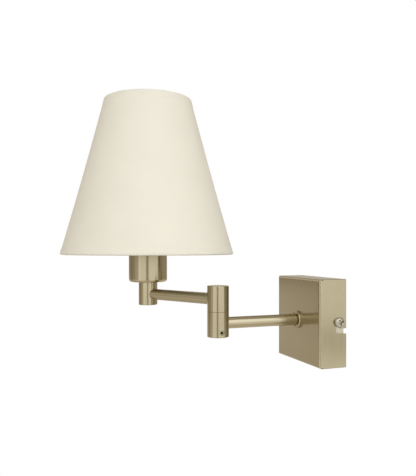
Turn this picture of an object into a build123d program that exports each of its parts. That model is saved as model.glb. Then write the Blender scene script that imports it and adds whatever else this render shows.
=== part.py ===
from build123d import *

# Swing arm wall light: a square wall box, two tube arms joined by a swivel elbow, and a shaded
# lamp head that screws on the front arm's post.
#
# Frame: millimetres, +Z up, +X to the right as seen from the room, +Y into the wall.
# The origin is the centre of the box where it meets the wall, at the height of the rear arm.

import os
from math import asin, atan2, cos, degrees, hypot, radians, sin

# ---- Driving dimensions ----------------------------------------------------------------------

FIT = 0.03  # radial clearance of pieces that are screwed, pressed or glued together
RUNNING = 0.05  # radial clearance of the swivel

# Wall box
BOX_SIDE = 75.0
BOX_DEPTH = 26.0
SHEET = 1.2
BOX_BEND = 2.5  # outside radius of the folds round the front face
SEAM = 0.3
BAYONET_WIDTH = 4.5
BAYONET_Y = -7.6  # depth of the fixing screws behind the wall box's open edge
BAYONET_TOP_Z = 1.1  # height at which the box hangs on the fixing screws
BAYONET_DROP = 7.6  # lift needed before the box comes off

# Wall bracket
BRACKET_SHEET = 1.5
BRACKET_WIDTH = 54.0
BRACKET_HEIGHT = 60.0
EAR_FACE_X = 36.0
EAR_DEPTH = 14.0
EAR_LOW_Z, EAR_ROOT_Z, EAR_HIGH_Z = -10.5, -3.4, 9.0
WALL_SLOT_SPACING = 40.0
WALL_SLOT_LENGTH = 10.0
WALL_SLOT_WIDTH = 4.6
CABLE_HOLE_R = 10.0

# Arms
ARM_R = 5.0
ARM_WALL = 1.0
ARM_INNER_END = 17.0  # the rear tube's end inside the box, from the wall
ELBOW_REACH = 102.5  # wall to swivel axis
FRONT_ARM_REACH = 86.5  # swivel axis to lamp axis
REST_SWING = 60.8  # degrees from straight out, towards -X
SWING_LIMIT = 104.0  # degrees either side of straight out
FRONT_ARM_Z = 20.4
LEAD_R = 1.6

# Elbow
ELBOW_R = 9.3
ELBOW_LOW_Z, ELBOW_SPLIT_Z, ELBOW_TOP_Z = -11.4, 10.15, 31.95
SPLIT_GAP = 0.12
PIVOT_R = 5.5
PIVOT_BORE_R = 3.2
PIVOT_FOOT_Z, PIVOT_BORE_Z, PIVOT_TOP_Z = -9.7, -4.5, 14.15
TUBE_STOP = 6.2  # the tubes end this far from the swivel axis
GRUB_Z = -7.1
GRUB_R = 2.0
DOG_R = 1.2
DOG_TIP_R = 4.35  # the dog point reaches this radius inside the pivot's groove

# Lamp head
POST_R = 8.85
POST_LOW_Z, POST_TOP_Z = 10.2, 31.9
POST_BORE_R = 4.2
NIPPLE_R, NIPPLE_BORE_R = 5.0, 3.7
CUP_R = 18.1
CUP_WALL = 1.0
CUP_TOP_Z = 70.0
HOLDER_R = 13.6
HOLDER_TOP_Z = 88.0
CARRIER_Z = 76.0

# Shade
SHADE_BASE_R, SHADE_TOP_R = 81.3, 41.2
SHADE_BASE_Z, SHADE_TOP_Z = 58.4, 204.0
SHADE_WAIST = 0.6  # the glued cloth draws the sides in between the rings
FABRIC = 0.5
LINER = 0.4
GLUE = 0.05
RING_WIRE_R = 1.2
SPOKE_R = 1.1

# Bulb
BULB_TIP_Z = 63.0
BULB_R = 22.5
BULB_CENTRE_Z = 118.5
CAP_PITCH = 2.82

# ---- Places and planes worked out from them ---------------------------------------------------

ELBOW = Vector(0, -ELBOW_REACH, 0)
swing = radians(REST_SWING)
ARM_DIRECTION = Vector(-sin(swing), -cos(swing), 0)
HEAD = ELBOW + ARM_DIRECTION * FRONT_ARM_REACH

elbow_axis = Axis(ELBOW, (0, 0, 1))
head_axis = Axis(HEAD, (0, 0, 1))
elbow_section = Plane(ELBOW, x_dir=(1, 0, 0), z_dir=(0, -1, 0))
head_section = Plane(HEAD, x_dir=(1, 0, 0), z_dir=(0, -1, 0))


def at(origin, z):
    """The point at height z over the given foot point."""
    return origin + Vector(0, 0, z)


def upright(origin, z):
    """A horizontal sketch plane at height z, centred on a vertical axis, turned like the front arm."""
    return Plane(at(origin, z), x_dir=ARM_DIRECTION, z_dir=(0, 0, 1))


def front_facing(depth):
    """A sketch plane parallel to the wall at this distance from it; extrusions run towards the room."""
    return Plane.XZ.offset(depth)


os.makedirs("parts", exist_ok=True)


def save(part, name):
    """Labels the piece and writes it as one STEP file."""
    part.label = name
    export_step(part, f"parts/{name}.step")


# ---- Wall box: cover -------------------------------------------------------------------------

half_box = BOX_SIDE / 2

with BuildPart() as box_cover:
    with BuildSketch(front_facing(0)):
        Rectangle(BOX_SIDE, BOX_SIDE)
    extrude(amount=BOX_DEPTH)
    front_face = box_cover.faces().sort_by(Axis.Y)[0]
    fillet(front_face.edges(), radius=BOX_BEND)
    open_face = box_cover.faces().sort_by(Axis.Y)[-1]
    offset(amount=-SHEET, openings=open_face)
    with BuildSketch(front_facing(0)):
        Circle(ARM_R + 0.2)
    extrude(amount=BOX_DEPTH, mode=Mode.SUBTRACT)
    # L-shaped bayonet slots in both side walls, open at the wall edge
    with BuildSketch(Plane.YZ):
        slot_low_z = BAYONET_TOP_Z - BAYONET_DROP
        with Locations((BAYONET_Y / 2, slot_low_z)):
            Rectangle(-BAYONET_Y, BAYONET_WIDTH)
        with Locations((BAYONET_Y, (BAYONET_TOP_Z + slot_low_z) / 2)):
            SlotCenterToCenter(BAYONET_DROP, BAYONET_WIDTH, rotation=90)
    extrude(amount=BOX_SIDE, both=True, mode=Mode.SUBTRACT)
    # folded corners: a mitred seam with a round relief where three faces meet
    for side in (-1, 1):
        for end in (-1, 1):
            corner = Plane(
                (side * half_box, 0, end * half_box),
                x_dir=(0, -1, 0),
                z_dir=(side, 0, end),
            )
            with BuildSketch(corner.offset(-2 * SHEET)):
                seam_length = BOX_DEPTH - BOX_BEND
                with Locations((seam_length / 2, 0)):
                    Rectangle(seam_length, SEAM)
                with Locations((seam_length, 0)):
                    Circle(0.7)
            extrude(amount=3 * SHEET, mode=Mode.SUBTRACT)

# ---- Wall box: bracket and its screws ---------------------------------------------------------

with BuildPart() as wall_bracket:
    with BuildSketch(front_facing(0)):
        Rectangle(BRACKET_WIDTH, BRACKET_HEIGHT)
        with Locations((0, (EAR_ROOT_Z + EAR_HIGH_Z) / 2)):
            Rectangle(2 * EAR_FACE_X, EAR_HIGH_Z - EAR_ROOT_Z)
        Circle(CABLE_HOLE_R, mode=Mode.SUBTRACT)
        with GridLocations(WALL_SLOT_SPACING, 0, 2, 1):
            SlotOverall(WALL_SLOT_LENGTH, WALL_SLOT_WIDTH, mode=Mode.SUBTRACT)
    extrude(amount=BRACKET_SHEET)
    bracket_edges = wall_bracket.edges().filter_by(Axis.Y).group_by(Axis.Z)
    fillet(bracket_edges[0] + bracket_edges[-1], radius=3)
    # ears: a root as wide as the plate's arms and a longer lip in front of it
    ear_back = BRACKET_SHEET
    for side in (-1, 1):
        ear_plane = Plane.YZ.offset(side * (EAR_FACE_X - BRACKET_SHEET / 2))
        with BuildSketch(ear_plane):
            with Locations((-EAR_DEPTH / 2, (EAR_ROOT_Z + EAR_HIGH_Z) / 2)):
                Rectangle(EAR_DEPTH, EAR_HIGH_Z - EAR_ROOT_Z)
            lip_back, lip_front = -1.8, -EAR_DEPTH
            with Locations(((lip_back + lip_front) / 2, (EAR_LOW_Z + EAR_HIGH_Z) / 2)):
                RectangleRounded(lip_back - lip_front, EAR_HIGH_Z - EAR_LOW_Z, 1.2)
            with Locations((BAYONET_Y, BAYONET_TOP_Z)):
                Circle(2.0 + FIT, mode=Mode.SUBTRACT)
        extrude(amount=BRACKET_SHEET / 2, both=True)
    # threaded hole of the earth screw
    earth_x, earth_z = 20.0, 20.0
    with Locations((earth_x, 0, earth_z)):
        Cylinder(2.0 + FIT, 4 * BRACKET_SHEET, rotation=(90, 0, 0), mode=Mode.SUBTRACT)


def pan_head_screw(plane, head_r, head_h, thread_r, length):
    """A cross-recessed pan head screw: its head rests on the plane, its thread runs against the normal."""
    with BuildPart() as screw:
        with BuildSketch(plane):
            Circle(head_r)
        extrude(amount=head_h)
        fillet(screw.edges().sort_by(Axis(plane.origin, plane.z_dir))[-1], radius=head_h * 0.6)
        with BuildSketch(plane):
            Circle(thread_r)
        extrude(amount=-length)
        with BuildSketch(plane.offset(head_h)):
            Rectangle(head_r * 1.25, head_r * 0.3)
            Rectangle(head_r * 0.3, head_r * 1.25)
        extrude(amount=-head_h * 0.65, mode=Mode.SUBTRACT)
    return screw.part


side_screw_solids = []
for side in (-1, 1):
    screw_seat = (side * (half_box + 0.05), BAYONET_Y, BAYONET_TOP_Z)
    screw_plane = Plane(screw_seat, x_dir=(0, 1, 0.35), z_dir=(side, 0, 0))
    side_screw_solids.append(pan_head_screw(screw_plane, 4.4, 2.9, 2.0, 7.0))
side_screws = Compound(children=side_screw_solids)

with BuildPart() as earth_washer:
    washer_plane = Plane((earth_x, -BRACKET_SHEET - 0.02, earth_z), x_dir=(1, 0, 0), z_dir=(0, -1, 0))
    with BuildSketch(washer_plane):
        Circle(4.4)
        with PolarLocations(4.4, 12):
            Circle(0.45, mode=Mode.SUBTRACT)
        Circle(2.15, mode=Mode.SUBTRACT)
    extrude(amount=0.8)

earth_screw = pan_head_screw(washer_plane.offset(0.84), 4.0, 2.6, 2.0, 2.25)

# ---- Wall box: terminal block -----------------------------------------------------------------

BLOCK_X, BLOCK_Y, BLOCK_Z = 27.0, 13.0, 15.0
BLOCK_CENTRE_Z = -24.5
POLE_PITCH = 9.0
block_front = BRACKET_SHEET + 0.05 + BLOCK_Y
pole_depth = BRACKET_SHEET + 0.05 + 5.5  # depth of the clamping tubes in the block
pole_plane = Plane((0, -pole_depth, BLOCK_CENTRE_Z), x_dir=(1, 0, 0), z_dir=(0, 0, 1))

with BuildPart() as terminal_block:
    with BuildSketch(front_facing(BRACKET_SHEET + 0.05)):
        with Locations((0, BLOCK_CENTRE_Z)):
            RectangleRounded(BLOCK_X, BLOCK_Z, 1.5)
    extrude(amount=BLOCK_Y - 4)
    with BuildSketch(front_facing(block_front - 4)):
        with Locations((0, BLOCK_CENTRE_Z)), GridLocations(POLE_PITCH, 0, 3, 1):
            RectangleRounded(6.6, BLOCK_Z, 1.2)
    extrude(amount=4)
    # clamping tube channels along Z and screw wells from the front
    with BuildSketch(pole_plane.offset(-BLOCK_Z)):
        with GridLocations(POLE_PITCH, 0, 3, 1):
            Circle(2.3)
    extrude(amount=2 * BLOCK_Z, mode=Mode.SUBTRACT)
    with BuildSketch(front_facing(block_front)):
        with Locations((0, BLOCK_CENTRE_Z)), GridLocations(POLE_PITCH, 7.0, 3, 2):
            Circle(1.8)
    extrude(amount=-(block_front - pole_depth), mode=Mode.SUBTRACT)

with BuildPart() as terminal_tubes:
    with BuildSketch(pole_plane.offset(-BLOCK_Z / 2 + 1)):
        with GridLocations(POLE_PITCH, 0, 3, 1):
            Circle(2.3 - FIT)
            Circle(1.4, mode=Mode.SUBTRACT)
    extrude(amount=BLOCK_Z - 2)

with BuildPart() as terminal_screws:
    with BuildSketch(front_facing(pole_depth + 2.35)):
        with Locations((0, BLOCK_CENTRE_Z)), GridLocations(POLE_PITCH, 7.0, 3, 2):
            Circle(1.6)
    extrude(amount=3.4)
    with BuildSketch(front_facing(pole_depth + 2.35 + 3.4)):
        with Locations((0, BLOCK_CENTRE_Z)), GridLocations(POLE_PITCH, 7.0, 3, 2):
            Rectangle(3.4, 0.5, rotation=25)
    extrude(amount=-0.8, mode=Mode.SUBTRACT)

# ---- Rear arm ---------------------------------------------------------------------------------

with BuildPart() as rear_arm_tube:
    with BuildSketch(front_facing(ARM_INNER_END)):
        Circle(ARM_R)
        Circle(ARM_R - ARM_WALL, mode=Mode.SUBTRACT)
    extrude(amount=ELBOW_REACH - TUBE_STOP - ARM_INNER_END)

COLLAR_R, COLLAR_LENGTH = 7.65, 2.1
COLLAR_RIM = 1.5  # width of the round rim about its dished front
COLLAR_DISH = 0.9
collar_face_y = BOX_DEPTH + 0.02 + COLLAR_LENGTH
with BuildPart() as arm_collar:
    with BuildSketch(front_facing(BOX_DEPTH + 0.02)):
        Circle(COLLAR_R)
        Circle(ARM_R + FIT, mode=Mode.SUBTRACT)
    extrude(amount=COLLAR_LENGTH)
    with BuildSketch(front_facing(collar_face_y)):
        Circle(COLLAR_R - COLLAR_RIM)
    extrude(amount=-COLLAR_DISH, mode=Mode.SUBTRACT)
    fillet(arm_collar.faces().sort_by(Axis.Y)[0].edges(), radius=COLLAR_RIM / 2 - 0.05)

box_inside = BOX_DEPTH - SHEET
with BuildPart() as arm_lock_washer:
    with BuildSketch(front_facing(box_inside - 0.03)):
        Circle(8.5)
        with PolarLocations(8.5, 16):
            Circle(0.6, mode=Mode.SUBTRACT)
        Circle(ARM_R + FIT, mode=Mode.SUBTRACT)
    extrude(amount=-0.8)

with BuildPart() as arm_lock_nut:
    with BuildSketch(front_facing(box_inside - 0.86)):
        RegularPolygon(14 / 2, 6, major_radius=False)
        Circle(ARM_R + FIT, mode=Mode.SUBTRACT)
    extrude(amount=-3.5)

with BuildPart() as lead_bush:
    with BuildSketch(front_facing(ARM_INNER_END - 1.05)):
        Circle(ARM_R)
        Circle(2.4, mode=Mode.SUBTRACT)
    extrude(amount=1.0)
    with BuildSketch(front_facing(ARM_INNER_END - 0.05)):
        Circle(ARM_R - ARM_WALL - FIT)
        Circle(2.4, mode=Mode.SUBTRACT)
    extrude(amount=5)
    fillet(lead_bush.faces().sort_by(Axis.Y)[-1].edges(), radius=0.4)

# ---- Elbow ------------------------------------------------------------------------------------

lower_top_z = ELBOW_SPLIT_Z - SPLIT_GAP / 2
upper_low_z = ELBOW_SPLIT_Z + SPLIT_GAP / 2
EDGE_ROUND = 0.5
SPLIT_BREAK = 0.1

with BuildPart() as elbow_lower:
    with BuildSketch(upright(ELBOW, ELBOW_LOW_Z)):
        Circle(ELBOW_R)
    extrude(amount=lower_top_z - ELBOW_LOW_Z)
    lower_rims = elbow_lower.edges().filter_by(GeomType.CIRCLE).sort_by(Axis.Z)
    fillet(lower_rims[0], radius=EDGE_ROUND)
    chamfer(lower_rims[-1], length=SPLIT_BREAK)
    with BuildSketch(upright(ELBOW, PIVOT_FOOT_Z - 0.15)):
        Circle(PIVOT_R + RUNNING)
    extrude(amount=40, mode=Mode.SUBTRACT)
    with BuildSketch(front_facing(0)):
        Circle(ARM_R + FIT)
    extrude(amount=ELBOW_REACH, mode=Mode.SUBTRACT)
    with BuildSketch(Plane(at(ELBOW, GRUB_Z), x_dir=(0, 1, 0), z_dir=(1, 0, 0))):
        Circle(GRUB_R + FIT)
    extrude(amount=2 * ELBOW_R, mode=Mode.SUBTRACT)

with BuildPart() as elbow_upper:
    with BuildSketch(upright(ELBOW, upper_low_z)):
        Circle(ELBOW_R)
    extrude(amount=ELBOW_TOP_Z - upper_low_z)
    upper_rims = elbow_upper.edges().filter_by(GeomType.CIRCLE).sort_by(Axis.Z)
    fillet(upper_rims[-1], radius=EDGE_ROUND)
    chamfer(upper_rims[0], length=SPLIT_BREAK)
    with BuildSketch(upright(ELBOW, upper_low_z)):
        Circle(PIVOT_R + FIT)
    extrude(amount=40, mode=Mode.SUBTRACT)
    cap_seat_z = ELBOW_TOP_Z - 1.6
    with BuildSketch(upright(ELBOW, cap_seat_z)):
        Circle(ELBOW_R - 1.6)
    extrude(amount=10, mode=Mode.SUBTRACT)
    with BuildSketch(Plane(at(ELBOW, FRONT_ARM_Z), x_dir=(0, 0, 1), z_dir=ARM_DIRECTION)):
        Circle(ARM_R + FIT)
    extrude(amount=2 * ELBOW_R, mode=Mode.SUBTRACT)

with BuildPart() as elbow_top_cap:
    with BuildSketch(upright(ELBOW, cap_seat_z + 0.02)):
        Circle(ELBOW_R - 1.6 - FIT)
    extrude(amount=1.55)
    chamfer(elbow_top_cap.edges().filter_by(GeomType.CIRCLE).sort_by(Axis.Z)[-1], length=0.15)


def ring_sector(plane, inner_r, outer_r, height, centre_angle, half_angle):
    """A sector of a flat ring, standing on the plane and centred on its axis."""
    with BuildPart() as sector:
        with BuildSketch(plane):
            Circle(outer_r)
            Circle(inner_r, mode=Mode.SUBTRACT)
            with BuildLine():
                far = outer_r * 3
                away = radians(centre_angle + 180)
                spread = radians(180 - half_angle)
                Polyline(
                    (0, 0),
                    (far * cos(away - spread), far * sin(away - spread)),
                    (far * 1.5 * cos(away), far * 1.5 * sin(away)),
                    (far * cos(away + spread), far * sin(away + spread)),
                    close=True,
                )
            make_face(mode=Mode.SUBTRACT)
        extrude(amount=height)
    return sector.part


dog_half_angle = degrees(asin(DOG_R / DOG_TIP_R))
GROOVE_HALF = SWING_LIMIT + dog_half_angle + 1.0  # the dog point stops on the groove's ends
WINDOW_HALF = SWING_LIMIT + 36.0
groove_centre = 0 - REST_SWING  # the grub screw's side, when the arm is straight out
window_centre = 90 - REST_SWING  # the rear arm's side, when the arm is straight out
elbow_plane = Plane(ELBOW, x_dir=(1, 0, 0), z_dir=(0, 0, 1))
O_RING_Z, O_RING_WIRE_R = 7.2, 0.6

lead_window = ring_sector(elbow_plane.offset(-3.6), 1.0, 2 * PIVOT_R, 7.2, window_centre, WINDOW_HALF)
groove_height = 2 * DOG_R + 0.4
groove_plane = elbow_plane.offset(GRUB_Z - groove_height / 2)
groove_root_r = DOG_TIP_R - 0.15
dog_groove = ring_sector(groove_plane, groove_root_r, 2 * PIVOT_R, groove_height, groove_centre, GROOVE_HALF)

with BuildPart() as pivot_stud:
    with BuildSketch(upright(ELBOW, PIVOT_FOOT_Z)):
        Circle(PIVOT_R)
    extrude(amount=PIVOT_TOP_Z - PIVOT_FOOT_Z)
    with BuildSketch(upright(ELBOW, PIVOT_BORE_Z)):
        Circle(PIVOT_BORE_R)
    extrude(amount=40, mode=Mode.SUBTRACT)
    add(lead_window, mode=Mode.SUBTRACT)
    add(dog_groove, mode=Mode.SUBTRACT)
    with BuildSketch(elbow_section):
        with Locations((PIVOT_R, O_RING_Z)):
            Rectangle(2 * (2 * O_RING_WIRE_R + 0.05), 2 * O_RING_WIRE_R + 0.3)
    revolve(axis=elbow_axis, mode=Mode.SUBTRACT)

with BuildPart() as pivot_o_ring:
    with BuildSketch(elbow_section):
        with Locations((PIVOT_R - O_RING_WIRE_R + 0.02, O_RING_Z)):
            Circle(O_RING_WIRE_R)
    revolve(axis=elbow_axis)

with BuildPart() as pivot_washer:
    with BuildSketch(upright(ELBOW, lower_top_z + 0.03)):
        Circle(ELBOW_R - 0.7)
        Circle(PIVOT_R + 0.1, mode=Mode.SUBTRACT)
    extrude(amount=SPLIT_GAP - 0.05)

with BuildPart() as pivot_grub_screw:
    grub_outer = ELBOW_R - 0.3
    grub_plane = Plane(at(ELBOW, GRUB_Z) + Vector(grub_outer, 0, 0), x_dir=(0, 1, 0), z_dir=(1, 0, 0))
    with BuildSketch(grub_plane):
        Circle(GRUB_R)
    extrude(amount=-(grub_outer - PIVOT_R - 0.3))
    with BuildSketch(grub_plane):
        Circle(DOG_R)
    extrude(amount=-(grub_outer - DOG_TIP_R))
    with BuildSketch(grub_plane):
        RegularPolygon(1.0, 6, major_radius=False)
    extrude(amount=-1.6, mode=Mode.SUBTRACT)
    chamfer(pivot_grub_screw.faces().sort_by(Axis.X)[-1].edges().filter_by(GeomType.CIRCLE), length=0.3)

# ---- Front arm and lamp post --------------------------------------------------------------------

POST_TUBE_STOP = 4.6  # the front tube ends this far from the lamp axis
front_tube_plane = Plane(
    at(ELBOW, FRONT_ARM_Z) + ARM_DIRECTION * TUBE_STOP, x_dir=(0, 0, 1), z_dir=ARM_DIRECTION
)
with BuildPart() as front_arm_tube:
    with BuildSketch(front_tube_plane):
        Circle(ARM_R)
        Circle(ARM_R - ARM_WALL, mode=Mode.SUBTRACT)
    extrude(amount=FRONT_ARM_REACH - TUBE_STOP - POST_TUBE_STOP)

with BuildPart() as lamp_post:
    with BuildSketch(upright(HEAD, POST_LOW_Z)):
        Circle(POST_R)
    extrude(amount=POST_TOP_Z - POST_LOW_Z)
    post_rims = lamp_post.edges().filter_by(GeomType.CIRCLE).sort_by(Axis.Z)
    fillet(post_rims[0], radius=EDGE_ROUND)
    chamfer(post_rims[-1], length=SPLIT_BREAK)
    with BuildSketch(upright(HEAD, FRONT_ARM_Z - 6.5)):
        Circle(POST_BORE_R)
    extrude(amount=40, mode=Mode.SUBTRACT)
    with BuildSketch(upright(HEAD, 25.6)):
        Circle(NIPPLE_R + FIT)
    extrude(amount=20, mode=Mode.SUBTRACT)
    with BuildSketch(Plane(at(HEAD, FRONT_ARM_Z), x_dir=(0, 0, 1), z_dir=-ARM_DIRECTION)):
        Circle(ARM_R + FIT)
    extrude(amount=2 * POST_R, mode=Mode.SUBTRACT)

with BuildPart() as lamp_nipple:
    with BuildSketch(upright(HEAD, 25.65)):
        Circle(NIPPLE_R)
        Circle(NIPPLE_BORE_R, mode=Mode.SUBTRACT)
    extrude(amount=19.35)
    chamfer(lamp_nipple.edges().filter_by(GeomType.CIRCLE).group_by(SortBy.RADIUS)[-1], length=0.5)

# ---- Lamp cup and lampholder --------------------------------------------------------------------

CUP_FLOOR = 1.2
cup_low_z = POST_TOP_Z + 0.02
with BuildPart() as lamp_cup:
    with BuildSketch(upright(HEAD, cup_low_z)):
        Circle(CUP_R)
    extrude(amount=CUP_TOP_Z - cup_low_z)
    fillet(lamp_cup.edges().filter_by(GeomType.CIRCLE).sort_by(Axis.Z)[0], radius=2.7)
    with BuildSketch(upright(HEAD, cup_low_z + CUP_FLOOR)):
        Circle(CUP_R - CUP_WALL)
    extrude(amount=60, mode=Mode.SUBTRACT)
    cup_floor_edge = lamp_cup.edges().filter_by(GeomType.CIRCLE).filter_by_position(
        Axis.Z, cup_low_z + CUP_FLOOR - 0.01, cup_low_z + CUP_FLOOR + 0.01
    )
    fillet(cup_floor_edge, radius=1.6)
    with BuildSketch(upright(HEAD, cup_low_z)):
        Circle(NIPPLE_R + 0.1)
    extrude(amount=5, mode=Mode.SUBTRACT)

cup_nut_z = cup_low_z + CUP_FLOOR + 0.02
with BuildPart() as cup_nut:
    with BuildSketch(upright(HEAD, cup_nut_z)):
        RegularPolygon(7.0, 6, major_radius=False)
        Circle(NIPPLE_R + FIT, mode=Mode.SUBTRACT)
    extrude(amount=3.0)


def turned(points, section=head_section, axis=head_axis):
    """A turned solid: the closed outline in radius and height, revolved about a vertical axis."""
    with BuildPart() as piece:
        with BuildSketch(section):
            with BuildLine():
                Polyline(*points, close=True)
            make_face()
        revolve(axis=axis)
    return piece


HOLDER_LOW_Z, HOLDER_JOINT_Z = 37.0, 53.0
HOLDER_WALL = 1.5
SLEEVE_LOW_Z, SLEEVE_TOP_Z = 67.0, 84.5
holder_bore_r = NIPPLE_R + FIT

with BuildPart() as holder_cap:
    with BuildSketch(head_section):
        with BuildLine():
            Polyline(
                (holder_bore_r, HOLDER_LOW_Z),
                (8.5, HOLDER_LOW_Z),
                (HOLDER_R, 42.5),
                (HOLDER_R, HOLDER_JOINT_Z),
                (HOLDER_R - HOLDER_WALL, HOLDER_JOINT_Z),
                (HOLDER_R - HOLDER_WALL, 43.5),
                (8.0, 45.0),
                (holder_bore_r, 45.0),
                close=True,
            )
        make_face()
    revolve(axis=head_axis)
    fillet(holder_cap.edges().filter_by(GeomType.CIRCLE).filter_by_position(Axis.Z, 42.4, 42.6), radius=1.2)

RING_THREAD_PITCH = 2.0
RING_THREAD_DEPTH = 0.5
shell_top_turns = int((HOLDER_TOP_Z - 72.0) / RING_THREAD_PITCH)
with BuildPart() as holder_shell:
    with BuildSketch(head_section):
        with BuildLine():
            thread_points = []
            for turn in range(shell_top_turns):
                turn_z = 71.5 + turn * RING_THREAD_PITCH
                thread_points += [
                    (HOLDER_R - RING_THREAD_DEPTH, turn_z),
                    (HOLDER_R, turn_z + RING_THREAD_PITCH / 2),
                ]
            Polyline(
                (HOLDER_R - HOLDER_WALL, HOLDER_JOINT_Z + 0.1),
                (HOLDER_R, HOLDER_JOINT_Z + 0.1),
                (HOLDER_R, 70.5),
                *thread_points,
                (HOLDER_R - RING_THREAD_DEPTH, HOLDER_TOP_Z - 0.6),
                (HOLDER_R - 1.0, HOLDER_TOP_Z),
                (9.2, HOLDER_TOP_Z),
                (9.2, SLEEVE_TOP_Z - 0.05),
                (8.05, SLEEVE_TOP_Z - 0.05),
                (8.05, SLEEVE_LOW_Z - 0.1),
                (HOLDER_R - HOLDER_WALL, SLEEVE_LOW_Z - 0.1),
                close=True,
            )
        make_face()
    revolve(axis=head_axis)

contact_floor_z = 61.4
holder_core = turned(
    [
        (0, 54.0),
        (11.5, 54.0),
        (11.5, SLEEVE_LOW_Z - 0.3),
        (7.6, SLEEVE_LOW_Z - 0.3),
        (7.6, contact_floor_z),
        (0, contact_floor_z),
    ]
)

thread_sleeve = turned(
    [
        (7.5, SLEEVE_LOW_Z),
        (8.0, SLEEVE_LOW_Z),
        (8.0, SLEEVE_TOP_Z),
        (9.0, SLEEVE_TOP_Z),
        (9.0, SLEEVE_TOP_Z + 0.5),
        (7.5, SLEEVE_TOP_Z + 0.5),
    ]
)

with BuildPart() as centre_contact:
    with BuildSketch(upright(HEAD, contact_floor_z + 0.02)):
        SlotOverall(10, 3.4)
    extrude(amount=0.5)
    with BuildSketch(upright(HEAD, contact_floor_z + 0.5)):
        Circle(1.5)
    extrude(amount=BULB_TIP_Z - contact_floor_z - 0.6)
    fillet(centre_contact.edges().filter_by(GeomType.CIRCLE).sort_by(Axis.Z)[-1], radius=0.5)

SHADE_RING_R = 19.4
SHADE_RING_HEIGHT = 3.0
HUB_THICKNESS = 1.8


def shade_ring(low_z):
    """A threaded ring with finger notches that clamps the shade carrier on the lampholder."""
    with BuildPart() as ring:
        with BuildSketch(upright(HEAD, low_z)):
            Circle(SHADE_RING_R)
            with PolarLocations(SHADE_RING_R + 0.5, 18):
                Circle(1.1, mode=Mode.SUBTRACT)
            Circle(HOLDER_R + 0.05, mode=Mode.SUBTRACT)
        extrude(amount=SHADE_RING_HEIGHT)
    return ring


shade_ring_lower = shade_ring(CARRIER_Z - HUB_THICKNESS / 2 - 0.03 - SHADE_RING_HEIGHT)
shade_ring_upper = shade_ring(CARRIER_Z + HUB_THICKNESS / 2 + 0.03)

# ---- Shade ------------------------------------------------------------------------------------

cone_run = SHADE_BASE_R - SHADE_TOP_R
cone_rise = SHADE_TOP_Z - SHADE_BASE_Z
cone_angle = atan2(cone_run, cone_rise)
slant = hypot(cone_run, cone_rise)
PANEL = FABRIC + GLUE + LINER
HEM_ROLL = 0.5  # rolled fabric over the panel's edge
HEM_TUCK = 9.0  # fabric glued down inside the shade


def on_cone(along, depth):
    """Radius and height of a point this far up the slant and this deep under the waisted outer face."""
    part_way = along / slant
    inward = depth + 4 * SHADE_WAIST * part_way * (1 - part_way)
    radius = SHADE_BASE_R - along * sin(cone_angle) - inward * cos(cone_angle)
    height = SHADE_BASE_Z + along * cos(cone_angle) - inward * sin(cone_angle)
    return radius, height


def cone_band(low, high, outer_depth, thickness):
    """A conical sheet between two distances up the slant and two depths under the outer face."""
    inner_depth = outer_depth + thickness
    middle = (low + high) / 2
    with BuildPart() as band:
        with BuildSketch(head_section):
            with BuildLine():
                ThreePointArc(*[on_cone(along, outer_depth) for along in (low, middle, high)])
                Line(on_cone(high, outer_depth), on_cone(high, inner_depth))
                ThreePointArc(*[on_cone(along, inner_depth) for along in (high, middle, low)])
                Line(on_cone(low, inner_depth), on_cone(low, outer_depth))
            make_face()
        revolve(axis=head_axis)
    return band


panel_low, panel_high = HEM_ROLL, slant - HEM_ROLL
shade_fabric = cone_band(panel_low, panel_high, 0, FABRIC)
shade_liner = cone_band(panel_low, panel_high, FABRIC + GLUE, LINER)

wire_depth = PANEL + 0.08 + RING_WIRE_R
wire_low = panel_low + RING_WIRE_R
wire_high = panel_high - RING_WIRE_R


def wire_ring(along):
    """A closed wire ring lying against the inside of the shade."""
    with BuildPart() as ring:
        with BuildSketch(head_section):
            with Locations(on_cone(along, wire_depth)):
                Circle(RING_WIRE_R)
        revolve(axis=head_axis)
    return ring


shade_base_ring = wire_ring(wire_low)
shade_top_ring = wire_ring(wire_high)


def hem(edge, inward):
    """The fabric rolled over one rim, round the wire and down the inside. inward is +1 going up the slant."""
    tuck_depth = PANEL + 0.04
    outer_roll = wire_depth + RING_WIRE_R + 0.04 + HEM_ROLL
    start = edge + inward * (HEM_ROLL - 0.02)
    under = edge + inward * (HEM_ROLL + 2 * RING_WIRE_R + 0.25)
    return turned(
        [
            on_cone(edge, 0.25),
            on_cone(start, 0.0),
            on_cone(start, outer_roll - HEM_ROLL),
            on_cone(under, outer_roll - HEM_ROLL),
            on_cone(under, tuck_depth),
            on_cone(edge + inward * HEM_TUCK, tuck_depth),
            on_cone(edge + inward * HEM_TUCK, tuck_depth + HEM_ROLL),
            on_cone(under + inward * HEM_ROLL, tuck_depth + HEM_ROLL),
            on_cone(under + inward * HEM_ROLL, outer_roll - 0.3),
            on_cone(under, outer_roll),
            on_cone(start, outer_roll),
            on_cone(edge, outer_roll - 0.4),
        ]
    )


shade_base_hem = hem(0.0, 1)
shade_top_hem = hem(slant, -1)

HUB_R = 22.0
with BuildPart() as carrier_hub:
    with BuildSketch(upright(HEAD, CARRIER_Z - HUB_THICKNESS / 2)):
        Circle(HUB_R)
        Circle(HOLDER_R + 0.2, mode=Mode.SUBTRACT)
    extrude(amount=HUB_THICKNESS)

SPOKE_ANGLES = (90, 210, 330)
ring_r, ring_z = on_cone(wire_low, wire_depth)
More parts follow.
